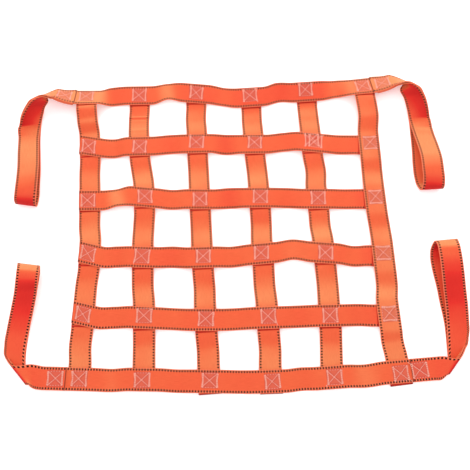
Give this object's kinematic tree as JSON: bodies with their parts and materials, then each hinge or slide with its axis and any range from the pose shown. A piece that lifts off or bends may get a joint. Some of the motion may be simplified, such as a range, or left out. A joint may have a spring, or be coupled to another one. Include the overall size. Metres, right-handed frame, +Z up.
{
  "type": "cargo lifting net",
  "caption": "Square cargo lifting net of flat red-orange webbing sewn into a grid, with a lifting eye of looped webbing at each corner, laid out flat.",
  "frame": {"origin": "middle of the net's own box, on the floor it lies on", "axes": "+X along the rows to the right, +Y along the columns away from the viewer, +Z up"},
  "size_m": [1.1126, 0.8228, 0.0635],
  "materials": {
    "webbing_column_1": "woven polyester webbing, satin",
    "webbing_column_2": "woven polyester webbing, satin",
    "webbing_column_3": "woven polyester webbing, satin",
    "webbing_column_4": "woven polyester webbing, satin",
    "webbing_column_5": "woven polyester webbing, satin",
    "webbing_column_6": "woven polyester webbing, satin",
    "webbing_row_2": "woven polyester webbing, satin",
    "webbing_row_3": "woven polyester webbing, satin",
    "webbing_row_4": "woven polyester webbing, satin",
    "webbing_row_5": "woven polyester webbing, satin",
    "webbing_border_far": "woven polyester webbing, satin",
    "webbing_border_near": "woven polyester webbing, satin",
    "webbing_eye_far_left": "woven polyester webbing, satin",
    "webbing_eye_far_right": "woven polyester webbing, satin",
    "webbing_eye_near_left": "woven polyester webbing, satin",
    "webbing_eye_near_right": "woven polyester webbing, satin"
  },
  "bodies": {
    "root": {"column_1": "webbing_column_1", "column_2": "webbing_column_2", "column_3": "webbing_column_3", "column_4": "webbing_column_4", "column_5": "webbing_column_5", "column_6": "webbing_column_6", "row_2": "webbing_row_2", "row_3": "webbing_row_3", "row_4": "webbing_row_4", "row_5": "webbing_row_5", "border_far": "webbing_border_far", "border_near": "webbing_border_near", "eye_far_left": "webbing_eye_far_left", "eye_far_right": "webbing_eye_far_right", "eye_near_left": "webbing_eye_near_left", "eye_near_right": "webbing_eye_near_right"}
  },
  "joints": []
}
